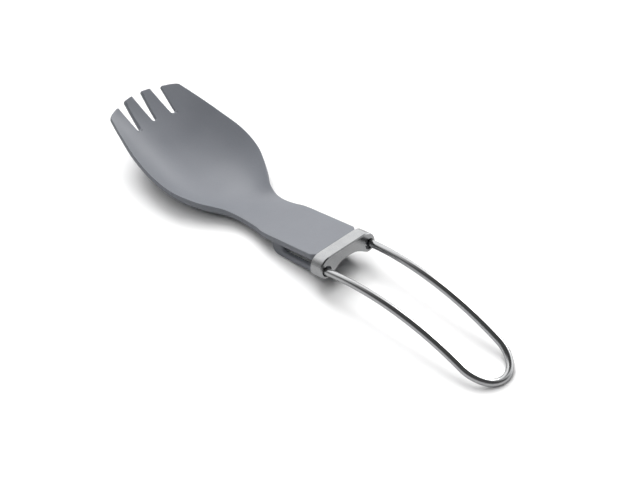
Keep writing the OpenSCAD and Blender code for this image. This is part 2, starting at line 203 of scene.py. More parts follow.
# Rows of the grid run from the tips to the collar, columns across the four tines. Down to the
# slots' roots each tine has its own columns; from there the neighbours share them. Rows crowd
# towards the root over the last part of a tine, and columns towards its corners over the first.
TINE_ROWS, ROOT_ROWS, BOWL_ROWS, ROOT_PART = 22, 10, 190, 0.075
TINE_COLUMNS = [22, 16, 16, 22]
CROWD_PART, CROWD_POWER, MIDDLE_CROWD = 0.25, 2.2, 0.75
rho = np.concatenate([np.linspace(0, 1, TINE_ROWS, endpoint=False) * (1 - ROOT_PART),
                      1 - ROOT_PART * np.linspace(1, 0, ROOT_ROWS + 1) ** 2])
root_row = len(rho) - 1
edges = [-side_y, -SLOT_PITCH, 0.0, SLOT_PITCH, side_y]
slot_lengths = {-SLOT_PITCH: OUTER_SLOT_L, 0.0: SLOT_L, SLOT_PITCH: OUTER_SLOT_L}
share_grid, v_grid = [], []
for tine, count in enumerate(TINE_COLUMNS):
    even = np.linspace(0, 1, count + 1)
    crowded, most = (1 - np.cos(np.pi * even)) / 2, MIDDLE_CROWD
    if tine == 0:
        crowded, most = even**CROWD_POWER, 1
    if tine == 3:
        crowded, most = 1 - (1 - even) ** CROWD_POWER, 1
    q = even + (crowded - even) * np.clip(1 - rho[:, None] / CROWD_PART, 0, 1) * most
    sides, corners = [], []
    for edge, inward in ((edges[tine], 1), (edges[tine + 1], -1)):
        if edge in slot_lengths:
            tip = float(tip_line(np.array([edge + inward * SLOT_MOUTH / 2]))[0])
            a = tip + (root_line(np.array(edge)) - tip) * rho
            sides.append(edge + inward * slot_half_width(a, slot_lengths[edge]))
            corners.append((sides[-1][0], inward))
        else:
            sides.append(np.full_like(rho, edge))
    y = sides[0][:, None] + (sides[1] - sides[0])[:, None] * q
    start = tip_line(y[0], corners)
    a = start + (root_line(y) - start) * rho[:, None]
    share, v = share_at(a, y)
    # The outer tines' outer columns are the sheet's own edge
    for outer, column, side in ((0, 0, -1.0), (3, -1, 1.0)):
        if tine == outer:
            share[:, column] = share_at(a[:, column], np.full(len(rho), side * OUTSIDE))[0]
            v[:, column] = side
    # Below the roots the columns run on straight in v, to the neck's end with its round corners
    past = np.abs(v[-1]) * NECK_W / 2 - (NECK_W / 2 - NECK_CORNER_R)
    into = np.clip(past, 0, NECK_CORNER_R)
    cut_back = (NECK_CORNER_R - np.sqrt(NECK_CORNER_R**2 - into**2)) * np.cos(NECK_TILT) / HEAD
    t = np.linspace(0, 1, BOWL_ROWS + 1)[1:, None]
    share_grid.append(np.vstack([share, share[-1] + (cut_back - share[-1]) * t]))
    v_grid.append(np.vstack([v, np.repeat(v[-1:], BOWL_ROWS, axis=0)]))
share_grid, v_grid = np.hstack(share_grid), np.hstack(v_grid)

# Point numbers of the grid. Below the roots a tine's first column is its neighbour's last one.
first = np.cumsum([0] + [count + 1 for count in TINE_COLUMNS])
index = np.arange(share_grid.size).reshape(share_grid.shape)
for tine in range(1, 4):
    index[root_row:, first[tine]] = index[root_row:, first[tine] - 1]

top = sheet_top(share_grid, v_grid).reshape(-1, 3)
normal = sheet_normal(share_grid, v_grid).reshape(-1, 3)
through = through_wall(share_grid, v_grid).reshape(-1, 3)
thick = sheet_thickness(share_grid).reshape(-1)

# The outline, walked once round: one side, tine ends and slots in turn, the other side, and
# back along the neck's end
walk = [index[::-1, 0]]
for tine in range(4):
    begin, end = first[tine], first[tine + 1] - 1
    walk.append(index[0, begin + 1:end + 1])
    if tine < 3:
        walk.append(index[1:root_row + 1, end])
        walk.append(index[root_row - 1::-1, end + 1])
walk += [index[1:, -1], index[-1, -2:0:-1]]
loop = np.concatenate(walk)
loop = loop[np.r_[True, loop[1:] != loop[:-1]]]

edge_point, edge_down, edge_thick = top[loop].copy(), through[loop], thick[loop, None]
along = unit(np.roll(edge_point, -1, 0) - np.roll(edge_point, 1, 0))
outward = unit(np.cross(along, edge_down))
if np.mean(np.sum(outward * (edge_point - edge_point.mean(0)), -1)) < 0:
    outward = -outward
into_top = unit(np.cross(normal[loop], along))
into_top *= -np.sign(np.sum(into_top * outward, -1, keepdims=True))

# Points near the outline move in by up to EDGE, to leave room for the rounded edge. Distances to
# the outline are worked out in parts, to save memory.
near = np.full(len(top), np.inf)
which = np.zeros(len(top), int)
for part in np.array_split(np.arange(len(top)), 40):
    gap = np.linalg.norm(top[part, None] - edge_point[None], axis=-1)
    which[part] = gap.argmin(1)
    near[part] = gap.min(1)
away = np.where(near[:, None] > 1e-6, unit(top - edge_point[which]), -outward[which])
top = top + away * np.clip(1 - near / EDGE_REACH, 0, 1)[:, None] * EDGE
bottom = top - through * thick[:, None]


def mesh_piece(name, points, faces):
    """Object from points in millimetres and arrays of three- or four-cornered faces. Points that
    meet are merged, loose ones dropped, and all faces turned outwards."""
    mesh = bpy.data.meshes.new(name)
    corners = [face for part in faces for face in part.tolist()]
    mesh.from_pydata((points / 1000).tolist(), [], corners)
    mesh.validate()
    piece = bpy.data.objects.new(name, mesh)
    bpy.context.scene.collection.objects.link(piece)
    solid = bmesh.new()
    solid.from_mesh(mesh)
    bmesh.ops.remove_doubles(solid, verts=solid.verts, dist=2e-7)
    loose = [vert for vert in solid.verts if not vert.link_faces]
    bmesh.ops.delete(solid, geom=loose, context="VERTS")
    bmesh.ops.recalc_face_normals(solid, faces=solid.faces)
    solid.to_mesh(mesh)
    solid.free()
    mesh.polygons.foreach_set("use_smooth", np.full(len(mesh.polygons), True))
    return piece


def grid_faces(ids, close_rows=False, close_columns=False):
    """Quads between neighbouring rows and columns of a grid of point numbers."""
    if close_rows:
        ids = np.vstack([ids, ids[:1]])
    if close_columns:
        ids = np.hstack([ids, ids[:, :1]])
    return np.stack([ids[:-1, :-1], ids[:-1, 1:], ids[1:, 1:], ids[1:, :-1]], -1).reshape(-1, 4)


# Rounded edge: a parabola leaves the top face EDGE before the corner and lands EDGE down the
# wall, and a second one leads from the wall to the underside
turn = np.linspace(0, 1, 6)
low_corner = edge_point - edge_down * edge_thick
ring = [edge_point + EDGE * ((1 - t) ** 2 * into_top - t**2 * edge_down) for t in turn]
ring += [edge_point - edge_down * (edge_thick / 2)]
ring += [low_corner + EDGE * ((1 - t) ** 2 * edge_down + t**2 * into_top) for t in turn]
points = np.vstack([top, bottom] + ring)
ring_ids = 2 * len(top) + np.arange(len(ring) * len(loop)).reshape(len(ring), len(loop))
points[loop], points[len(top) + loop] = ring[0], ring[-1]
ring_ids[0], ring_ids[-1] = loop, len(top) + loop
top_faces = np.vstack([grid_faces(index[:, first[k]:first[k + 1]]) for k in range(4)])
head_sheet = mesh_piece("head_sheet", points, [top_faces, top_faces[:, ::-1] + len(top),
                                               grid_faces(ring_ids, close_columns=True)])


class Signal:
    """One output socket of a material, with the arithmetic that the finishes here use."""

    def __init__(self, finish, socket):
        self.finish, self.socket = finish, socket

    def math(self, operation, *others, swap=False):
        """Adds a Math node on this value and the others."""
        values = [self, *others]
        return self.finish.node("ShaderNodeMath", {"operation": operation},
                                dict(enumerate(values[::-1] if swap else values)))

    def __add__(self, other):
        return self.math("ADD", other)

    def __sub__(self, other):
        return self.math("SUBTRACT", other)

    def __rsub__(self, other):
        return self.math("SUBTRACT", other, swap=True)

    def __mul__(self, other):
        return self.math("MULTIPLY", other)

    __radd__, __rmul__ = __add__, __mul__

    def step(self, low, high):
        """Smooth rise from 0 to 1 between two values."""
        return self.finish.node("ShaderNodeMapRange", {"interpolation_type": "SMOOTHSTEP"},
                                {"Value": self, "From Min": low, "From Max": high})


class Finish:
    """A node tree being filled: one material, or the world."""

    def __init__(self, owner):
        owner.use_nodes = True
        self.tree = owner.node_tree

    def node(self, kind, settings, values, output=0):
        """Adds any node: its settings first, then its sockets' values or links."""
        made = self.tree.nodes.new(kind)
        for key, value in settings.items():
            setattr(made, key, value)
        for key, value in values.items():
            if isinstance(value, Signal):
                self.tree.links.new(value.socket, made.inputs[key])
            else:
                made.inputs[key].default_value = value
        return Signal(self, made.outputs[output])

    def noise(self, place, scale, detail, stretch=(1, 1, 1)):
        """Soft noise; the scale counts waves per millimetre, stretched by the three factors."""
        spread = self.node("ShaderNodeVectorMath", {"operation": "MULTIPLY"},
                           {0: place, 1: [1000 * scale * k for k in stretch]})
        return self.node("ShaderNodeTexNoise", {}, {"Vector": spread, "Scale": 1.0,
                                                    "Detail": detail, "Roughness": 0.55})

    def mix(self, factor, first, second):
        """Blends two colours: sockets 6 and 7 of the Mix node, and its output 2."""
        return self.node("ShaderNodeMix", {"data_type": "RGBA"},
                         {0: factor, 6: first, 7: second}, 2)

    def bump(self, strength, distance, height):
        """Normal of a fine relief; the distance is its depth in metres."""
        return self.node("ShaderNodeBump", {}, {"Strength": strength, "Distance": distance,
                                                "Height": height})

    def object_place(self):
        """Place on the object, in metres."""
        return self.node("ShaderNodeTexCoord", {}, {}, "Object")

    def surface(self, **inputs):
        """Sets the shader's sockets: plain values stay on the socket, signals are linked."""
        shader = next(n for n in self.tree.nodes if n.type == "BSDF_PRINCIPLED")
        for key, value in inputs.items():
            key = key.replace("_", " ")
            if isinstance(value, Signal):
                self.tree.links.new(value.socket, shader.inputs[key])
            else:
                shader.inputs[key].default_value = value


def shade(red, green, blue):
    """Colour as read off a screen, 0 to 255, as the linear values that the shader takes: above a
    small value ((c + 0.055) / 1.055) to the power 2.4, below it c / 12.92."""
    c = np.array([red, green, blue]) / 255
    linear = np.where(c > 0.04045, ((c + 0.055) / 1.055) ** 2.4, c / 12.92)
    return (*linear.tolist(), 1.0)


def dress(pieces, material, body, node):
    """Gives pieces their material, ties them to their body and hides the CAD node they stand for.
    """
    for piece in pieces:
        piece.data.materials.clear()
        piece.data.materials.append(material)
        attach(piece, body)
        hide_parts(node)


# Matte grey nylon with a fine spark-eroded mould texture, a little uneven in tone and gloss
nylon = bpy.data.materials.new("nylon")
look = Finish(nylon)
place = look.object_place()
cloud = look.noise(place, 0.05, 3.0)
grain = look.noise(place, 3.2, 2.0)
patch = look.noise(place, 0.35, 3.0)
tone = look.mix(cloud.step(0.3, 0.7), shade(131, 134, 141), shade(136, 139, 146))
tone = look.mix(grain.step(0.35, 0.75) * 0.25, tone, shade(121, 124, 131))
look.surface(Base_Color=tone, Roughness=0.43 + 0.06 * patch + 0.05 * grain, IOR=1.5,
             Normal=look.bump(0.12, 0.00003, grain))
dress([head_sheet], nylon, "head", "head")


# Nylon head, the keel rails. Two rails stand under the neck, moulded with it. Each has a long
# slot that runs in under the collar, and its end carries the bore for the wire's pin.

# All are drawn in the neck's frame: u along it from its end, y across, n above its top face
# Width over the rails, their thickness, length, the foot's radius and the angle they run in
RAIL_SPAN, RAIL_T, RAIL_L, FOOT_R, TAPER = 16.6, 1.6, 21.6, 2.4, np.radians(1.6)
# How far the rails reach up into the sheet, and the small radii at their front and back
RAIL_SINK, RAIL_FRONT_R, RAIL_BACK_R, RAIL_EDGE = 0.5, 0.3, 0.5, 0.25
# The slot's length, height and depth below the neck, and how far past the rail's end it is
# drawn before its points are held at the place where it ends
RAIL_SLOT_L, RAIL_SLOT_H, RAIL_SLOT_N, PAST_END, SLOT_END = 17.4, 3.0, 4.7, 0.35, -0.35
# Rounding of the slot's outer edge along it and next to its end, and where it changes
SLOT_LIP, END_LIP, LIP_FROM, LIP_TO = 0.6, 0.2, -1.6, -0.5
# The rail's end under the collar: where it starts and ends, its top, bottom, corners and edges
SPIGOT_START, SPIGOT_L, SPIGOT_TOP, SPIGOT_BOTTOM = -0.9, 4.15, -0.6, -5.4
SPIGOT_R, SPIGOT_EDGE = 1.1, 0.12
# The pivot's place along and below the neck, and the bore's radius
PIVOT_U, PIVOT_N, BORE_R = 2.2, 3.75, 1.26
foot_top = NECK_TOP - (RAIL_L - FOOT_R) * np.sin(NECK_TILT)
RAIL_N = FOOT_R + (foot_top - FOOT_R) / np.cos(NECK_TILT)


def neck_to_row(points):
    """Points (u, y, n) of the neck's frame in the object's frame: a turn by the neck's tilt."""
    u, y, n = np.moveaxis(np.asarray(points, float), -1, 0)
    return np.stack([NECK_X + u * np.cos(NECK_TILT) - n * np.sin(NECK_TILT), y,
                     NECK_TOP + u * np.sin(NECK_TILT) + n * np.cos(NECK_TILT)], -1)


def outward_normals(path, material_inside):
    """Normals of a closed outline in its plane, away from the material."""
    along = unit(np.roll(path, -1, 0) - np.roll(path, 1, 0))
    across = np.stack([along[:, 1], -along[:, 0]], -1)
    following = np.roll(path, -1, 0)
    area = 0.5 * np.sum(path[:, 0] * following[:, 1] - following[:, 0] * path[:, 1])
    return across * np.sign(area) * (1 if material_inside else -1)


def ring_plate(name, outer, inner, thick, edge, lip, place, across=6):
    """Flat plate with one hole, its four edges quarter rounds: a cross-section carried round both
    outlines, which have the same number of points. The lip is the radius round the hole on the
    outer face, and place turns (x, y, depth) into points of the object."""
    lip = np.broadcast_to(lip, len(inner))[:, None]
    out_of_rim, into_hole = outward_normals(outer, True), outward_normals(inner, False)
    turns = [(1 - np.sin(a), 1 - np.cos(a)) for a in np.linspace(0, np.pi / 2, 5)]
    rim, back, face = outer - out_of_rim * edge, inner - into_hole * edge, inner - into_hole * lip
    steps = np.linspace(0, 1, across + 1)[1:-1]
    flat = np.ones((len(inner), 1))
    rings = [(outer - out_of_rim * edge * s, edge * c * flat) for s, c in turns]
    rings += [(outer - out_of_rim * edge * c, (thick - edge * s) * flat) for s, c in turns]
    rings += [(rim + (back - rim) * k, thick * flat) for k in steps]
    rings += [(inner - into_hole * edge * s, (thick - edge * c) * flat) for s, c in turns]
    rings += [(inner - into_hole * lip * c, lip * s) for s, c in turns]
    rings += [(face + (rim - face) * k, 0 * flat) for k in steps]
    grid = np.stack([np.hstack([path, depth]) for path, depth in rings])
    ids = np.arange(grid.shape[0] * grid.shape[1]).reshape(grid.shape[:2])
    return mesh_piece(name, place(grid).reshape(-1, 3), [grid_faces(ids, True, True)])


def runs(stretches, counts):
    """Outline made of straight or curved stretches, each resampled to its own number of points."""
    out = []
    for path, count in zip(stretches, counts):
        path = np.asarray(path, float)
        length = np.r_[0, np.cumsum(np.linalg.norm(np.diff(path, axis=0), axis=1))]
        want = np.linspace(0, length[-1], count, endpoint=False)
        out.append(np.stack([np.interp(want, length, path[:, i]) for i in range(2)], -1))
    return np.vstack(out)


def arc(x, y, radius, start, end, count=24):
    """Points of an arc round (x, y), angles in degrees."""
    angle = np.radians(np.linspace(start, end, count))
    return np.stack([x + radius * np.cos(angle), y + radius * np.sin(angle)], -1)


def on_rail(grid, side, taper):
    """Points (u, n, depth) of a rail in the object's frame: depth counts inward from its outer
    face, and the rail's plane is turned in by the taper."""
    u, n, depth = np.moveaxis(grid, -1, 0)
    y = RAIL_SPAN / 2 + u * np.sin(taper) - depth * np.cos(taper)
    return neck_to_row(np.stack([u * np.cos(taper) + depth * np.sin(taper), side * y, n], -1))


# The rail seen from its side: top, front end with the foot's round, underside, back end
sink, low, front = -SHEET + RAIL_SINK, -RAIL_N, -RAIL_L
rail_counts = [60, 44, 60, 24]
outer = runs([
    [(0.0, sink), (front + RAIL_FRONT_R, sink)],
    np.vstack([arc(front + RAIL_FRONT_R, sink - RAIL_FRONT_R, RAIL_FRONT_R, 90, 180, 6),
               [(front, low + FOOT_R)], arc(front + FOOT_R, low + FOOT_R, FOOT_R, 180, 270)]),
    [(front + FOOT_R, low), (-RAIL_BACK_R, low)],
    np.vstack([arc(-RAIL_BACK_R, low + RAIL_BACK_R, RAIL_BACK_R, 270, 360, 6),
               [(0.0, sink)]])], rail_counts)
half_h = RAIL_SLOT_H / 2
round_u, slot_top, slot_low = half_h - RAIL_SLOT_L, half_h - RAIL_SLOT_N, -half_h - RAIL_SLOT_N
slot = runs([
    [(PAST_END, slot_top), (round_u, slot_top)],
    arc(round_u, -RAIL_SLOT_N, half_h, 90, 270),
    [(round_u, slot_low), (PAST_END, slot_low)],
    [(PAST_END, slot_low), (PAST_END, slot_top)]], rail_counts)
slot[:, 0] = np.minimum(slot[:, 0], SLOT_END)
slot_lip = np.interp(slot[:, 0], [LIP_FROM, LIP_TO], [SLOT_LIP, END_LIP])

# The rail's end, a rounded block, and the bore with its points in line with the outline's
flat_end, upper, lower = SPIGOT_L - SPIGOT_R, SPIGOT_TOP - SPIGOT_R, SPIGOT_BOTTOM + SPIGOT_R
spigot = runs([
    [(SPIGOT_START, SPIGOT_TOP), (flat_end, SPIGOT_TOP)],
    arc(flat_end, upper, SPIGOT_R, 90, 0),
    [(SPIGOT_L, upper), (SPIGOT_L, lower)],
    arc(flat_end, lower, SPIGOT_R, 0, -90),
    [(flat_end, SPIGOT_BOTTOM), (SPIGOT_START, SPIGOT_BOTTOM)],
    [(SPIGOT_START, SPIGOT_BOTTOM), (SPIGOT_START, SPIGOT_TOP)]], [12, 14, 12, 14, 12, 16])
angle = np.arctan2(spigot[:, 1] + PIVOT_N, spigot[:, 0] - PIVOT_U)
bore = np.stack([PIVOT_U + BORE_R * np.cos(angle), BORE_R * np.sin(angle) - PIVOT_N], -1)
for side, word in ((1, "far"), (-1, "near")):
    rail = ring_plate("rail_" + word, outer, slot, RAIL_T, RAIL_EDGE, slot_lip,
                      lambda grid: on_rail(grid, side, TAPER))
    rail_end = ring_plate("rail_end_" + word, spigot, bore, RAIL_T, SPIGOT_EDGE, SPIGOT_EDGE,
                          lambda grid: on_rail(grid, side, 0))
    dress([rail, rail_end], nylon, "head", "head")

# The plate between the rails' ends, a step lower than the neck so that the collar covers it.
# How far it laps under the sheet and into the rails' ends, and the rounding of its edges
PLATE_LAP, PLATE_SIDE_LAP, PLATE_EDGE = 1.6, 0.8, 0.1
# Its pinhole, as a share of the plate's size, and its place. ring_plate needs it, and the collar
# covers it when the handle is locked.
PINHOLE, PINHOLE_U = 0.02, 0.6
plate_y = RAIL_SPAN / 2 - PLATE_SIDE_LAP
slab = runs([
    [(-PLATE_LAP, -plate_y), (flat_end, -plate_y)], [(flat_end, -plate_y), (flat_end, plate_y)],
    [(flat_end, plate_y), (-PLATE_LAP, plate_y)],
    [(-PLATE_LAP, plate_y), (-PLATE_LAP, -plate_y)]], [12, 24, 12, 24])


def under_top(grid):
    """Points (u, y, depth) of the plate in the object's frame: depth counts down from its top."""
    return neck_to_row(np.stack([grid[..., 0], grid[..., 1], SPIGOT_TOP - grid[..., 2]], -1))


spigot_plate = ring_plate("spigot_plate", slab, slab * PINHOLE + [PINHOLE_U, 0],
                          SHEET + SPIGOT_TOP, PLATE_EDGE, PLATE_EDGE, under_top)
dress([spigot_plate], nylon, "head", "head")


# Wire handle. One round stainless wire, 2.4 mm thick: pins bent inward at both ends, two arched
# arms that run together a little, and a round loop laid flat in the plane of the arms' ends.

# Radius of the wire, distance between its arms, radius of the bend, length of a pin, radius
# of the arms' arch, radius of the loop's shoulders and the heading at which they end
WIRE_R, ARM_SPAN, BEND_R, PIN_L, ARCH_R = 1.2, 19.2, 1.3, 3.3, 96.0
LOOP_SIDE_R, LOOP_SIDE_TURN = 12.0, np.radians(40)
# Softening of the wire's ends, and how finely it is drawn round
WIRE_END_R, WIRE_SIDES = 0.3, 40
pivot = neck_to_row([PIVOT_U, 0, -PIVOT_N])
nose = np.array([TOTAL / 2 - WIRE_R, 0, WIRE_R])
bend_end = np.array([BEND_R * (1 + np.sin(TAPER)), ARM_SPAN / 2 - BEND_R * (1 - np.cos(TAPER)), 0])


def arm_at(turned):
    """Centre line of the arched arm in the pivot's frame after it has turned by an angle."""
    turned = np.asarray(turned, float)
    ahead = np.sin(turned)
    return bend_end + ARCH_R * np.stack([ahead * np.cos(TAPER), -ahead * np.sin(TAPER),
                                         np.cos(turned) - 1], -1)


def loop_facts(turned):
    """Slope of the loop's plane, the arm's heading in it, the nose's radius and its place, for an
    arm that has turned by an angle. The radius brings both arms' curves together in the middle."""
    end = arm_at(turned)
    slope = np.arctan2(np.sin(turned), np.cos(TAPER) * np.cos(turned))
    heading = np.arcsin(np.sin(TAPER) * np.cos(turned))
    side_in = LOOP_SIDE_R * (np.cos(heading) - np.cos(LOOP_SIDE_TURN))
    nose_r = (end[1] - side_in) / np.cos(LOOP_SIDE_TURN)
    reach = (LOOP_SIDE_R * (np.sin(LOOP_SIDE_TURN) - np.sin(heading))
             + nose_r * (1 - np.sin(LOOP_SIDE_TURN)))
    return slope, heading, nose_r, end + reach * np.array([np.cos(slope), 0, -np.sin(slope)])


# The arms turn until the nose is as far from the pivot as it has to be: halving the interval
shortest, longest = 0.2, 1.0
for _ in range(50):
    middle = (shortest + longest) / 2
    at = loop_facts(middle)[3]
    if np.hypot(at[0], at[2]) < np.linalg.norm(nose - pivot):
        shortest = middle
    else:
        longest = middle
turned = shortest
slope, heading, nose_r, at = loop_facts(turned)
launch = np.arctan2(nose[2] - pivot[2], nose[0] - pivot[0]) - np.arctan2(at[2], at[0])


def loop_arc(radius, headings):
    """Way along the loop's plane from the first heading on: radius times the change of its sine
    ahead, and of its cosine across."""
    ahead = radius * (np.sin(headings) - np.sin(headings[0]))
    across = radius * (np.cos(headings) - np.cos(headings[0]))
    return np.stack([ahead * np.cos(slope), across, -ahead * np.sin(slope)], -1)


# Half the centre line in the pivot's frame: pin, bend, arm, the loop's shoulder and its nose
pin_y = np.linspace(ARM_SPAN / 2 - PIN_L, ARM_SPAN / 2 - BEND_R, 6)[:-1]
pin = np.stack([0 * pin_y, pin_y, 0 * pin_y], -1)
angle = np.linspace(np.pi, np.pi / 2 - TAPER, 17)[:-1]
bend = np.stack([BEND_R * (1 + np.cos(angle)), ARM_SPAN / 2 - BEND_R * (1 - np.sin(angle)),
                 0 * angle], -1)
arm = arm_at(np.linspace(0, turned, 91)[:-1])
shoulder = arm_at(turned) + loop_arc(LOOP_SIDE_R, np.linspace(heading, LOOP_SIDE_TURN, 31))
round_nose = shoulder[-1] + loop_arc(nose_r, np.linspace(LOOP_SIDE_TURN, np.pi / 2, 31))
half_wire = np.vstack([pin, bend, arm, shoulder[:-1], round_nose])
centre = np.vstack([half_wire, (half_wire * [1, -1, 1])[-2::-1]])


def round_bar(name, centre, radius, sides):
    """Round bar in the object's frame: a circle carried along a centre line of the pivot's frame,
    with quarter-round ends. One axis of the circle stays level, so the bar never twists."""
    q = np.linspace(0, np.pi / 2, 5)[1:]
    out, less = WIRE_END_R * np.sin(q), WIRE_END_R * (1 - np.cos(q))
    ahead = unit(np.gradient(centre, axis=0))
    line = np.vstack([centre[0] - np.outer(out[::-1], ahead[0]), centre,
                      centre[-1] + np.outer(out, ahead[-1])])
    size = radius - np.concatenate([less[::-1], np.zeros(len(centre)), less])
    ahead = np.pad(ahead, ((len(q), len(q)), (0, 0)), mode="edge")
    level = unit(np.stack([ahead[:, 1], -ahead[:, 0], 0 * ahead[:, 0]], -1))
    over = np.cross(level, ahead)
    a = np.linspace(0, 2 * np.pi, sides, endpoint=False)[None, :, None]
    skin = line[:, None] + size[:, None, None] * (np.cos(a) * level[:, None]
                                                  + np.sin(a) * over[:, None])
    ids = np.arange(len(line) * sides).reshape(len(line), sides)
    faces = [grid_faces(ids, close_columns=True)]
    for row, hub in ((0, ids.size), (-1, ids.size + 1)):
        faces.append(np.stack([ids[row], np.roll(ids[row], -1), np.full(sides, hub)], -1))
    x, y, z = np.vstack([skin.reshape(-1, 3), line[:1], line[-1:]]).T
    x, z = x * np.cos(launch) - z * np.sin(launch), x * np.sin(launch) + z * np.cos(launch)
    return mesh_piece(name, np.stack([pivot[0] + x, y, pivot[2] + z], -1), faces)


wire = round_bar("wire", centre, WIRE_R, WIRE_SIDES)

# Bright drawn steel: smooth, with faint die lines that run along the wire
wire_steel = bpy.data.materials.new("wire_steel")
look = Finish(wire_steel)
place = look.object_place()
lines = look.noise(place, 6.0, 2.0, (0.02, 1, 1))
smear = look.noise(place, 0.25, 3.0)
tone = look.mix(smear.step(0.35, 0.7) * 0.5, shade(206, 207, 208), shade(194, 195, 197))
look.surface(Base_Color=tone, Metallic=1.0, Roughness=0.14 + 0.05 * lines + 0.04 * smear,
             Normal=look.bump(0.08, 0.00002, lines))
dress([wire], wire_steel, "handle", "wire_handle")


# Lock collar. A shell pressed from stainless sheet that slides over the rails' ends and locks
# the handle. It is open behind and below, and the wire's arms run out through two holes in its
# front. Satin finish.

# Where it starts along the neck, its length and wall, and the chamfer of its front and back
COLLAR_U, COLLAR_L, WALL, CHAMFER = 0.2, 5.0, 0.75, 0.35
# Its top and underside above the neck, half width, and the radii of corners and lobes
COLLAR_TOP, COLLAR_LOW, COLLAR_HALF, COLLAR_R, LOBE_R = 0.45, -6.45, 11.8, 4.2, 2.5
# Crown of the arch in its lower edge, and the power with which its fall begins
ARCH_TOP, ARCH_POWER = -3.22, 1.5
# Place and radius of the wire's holes, the rounding of their front edge and its middle ring
HOLE_Y, HOLE_N, HOLE_R, HOLE_EDGE, HOLE_EDGE_MID = 9.2, -3.85, 1.8, 0.12, 0.035
# Softened border of a chamfer: how far back and how far in from the sharp one
SOFT = [(0.06, 0.0), (-0.012, 0.012), (-0.05, 0.05)]
corner_y, lobe_y = COLLAR_HALF - COLLAR_R, COLLAR_HALF - LOBE_R
arch_drop = ARCH_TOP - COLLAR_LOW


def arch_height(y):
    """Underside between the lobes: it falls from the crown by the squared sine of a turn that
    grows as |y|^1.5, and runs level into the lobes."""
    turn = np.pi / 2 * (np.abs(y) / lobe_y) ** ARCH_POWER
    return ARCH_TOP - arch_drop * np.sin(turn) ** 2


def arch_foot(inset):
    """Width at which the arch reaches the lobes' underside, raised by the inset."""
    share = np.clip((arch_drop - inset) / arch_drop, 0, 1)
    return lobe_y * (np.arcsin(np.sqrt(share)) / (np.pi / 2)) ** (1 / ARCH_POWER)


def collar_path(inset):
    """Outline of the pressing seen along the neck, drawn in by the inset, from one foot of the
    arch over the top to the other: straight top, round corners, upright sides, round lobes."""
    top, low = COLLAR_TOP - inset, COLLAR_LOW + inset
    corner = arc(corner_y, COLLAR_TOP - COLLAR_R, COLLAR_R - inset, 90, 0)
    lobe = arc(lobe_y, COLLAR_LOW + LOBE_R, LOBE_R - inset, 0, -90)
    foot = [float(arch_foot(inset)), low]
    stretches = [[(0, top), corner[0]], corner, [corner[-1], lobe[0]], lobe, [lobe[-1], foot]]
    half = np.vstack([runs(stretches, [10, 28, 2, 24, 6]), [foot]])
    return np.vstack([half[:0:-1] * [-1, 1], half])


def at_u(u, path):
    """Points of a path seen along the neck, at one place along it."""
    return np.column_stack([np.full(len(path), u), path])


def hole_ring(mirror, radius):
    """Circle of one of the wire's holes, seen along the neck."""
    angle = np.linspace(0, 2 * np.pi, 48, endpoint=False)
    return np.column_stack([mirror * HOLE_Y + radius * np.cos(angle),
                            HOLE_N + radius * np.sin(angle)])


collar_points, collar_faces = [], []


def add_rows(rows, close_columns=False):
    """Adds paths of equal length to the collar, with quads between neighbours."""
    grid = np.stack(rows)
    ids = np.arange(grid.shape[0] * grid.shape[1]).reshape(grid.shape[:2])
    collar_faces.append(grid_faces(ids + sum(map(len, collar_points)), False, close_columns))
    collar_points.append(grid.reshape(-1, 3))


# Skin: from the inside of the front wall back along the inner face, over the back edge, forward
# along the outer face and over the front edge
front_u = COLLAR_U + COLLAR_L
inside_u = front_u - WALL
chamfer = [(CHAMFER + back, inset) for back, inset in SOFT]
chamfer += [(inset, CHAMFER + back) for back, inset in SOFT[::-1]]
flat_inset = chamfer[-1][1]
rings = [(inside_u, WALL)] + [(COLLAR_U + back, WALL) for back, _ in chamfer[:-1]]
rings += [(COLLAR_U, inset) for inset in np.linspace(WALL, flat_inset, 5)]
rings += [(COLLAR_U + back, inset) for back, inset in chamfer[-2::-1]]
rings += [(inside_u, 0.0)] + [(front_u - back, inset) for back, inset in chamfer]
add_rows([at_u(u, collar_path(inset)) for u, inset in rings])

# Feet of the arch: rows from the outer foot to the inner one
outer_rings = rings[rings.index((COLLAR_U, flat_inset)):]
for mirror in (1, -1):
    foot_rows = []
    for u, inset in outer_rings:
        raised = np.linspace(inset, WALL, 5)
        foot = np.column_stack([mirror * arch_foot(raised), COLLAR_LOW + raised])
        foot_rows.append(at_u(u, foot))
    add_rows(foot_rows)

# Underside of the front wall: rows right across the arch
across = np.linspace(-1, 1, 49) * float(arch_foot(WALL))
arch = np.column_stack([across, arch_height(across)])
add_rows([at_u(u, arch) for u, _ in outer_rings if u > inside_u - 1e-6])

# Holes for the wire's arms, their front edge rounded by three rings
hole_rings = [(0, HOLE_EDGE), (HOLE_EDGE_MID, HOLE_EDGE_MID), (HOLE_EDGE, 0), (WALL, 0)]
for mirror in (1, -1):
    add_rows([at_u(front_u - back, hole_ring(mirror, HOLE_R + wider))
              for back, wider in hole_rings], close_columns=True)


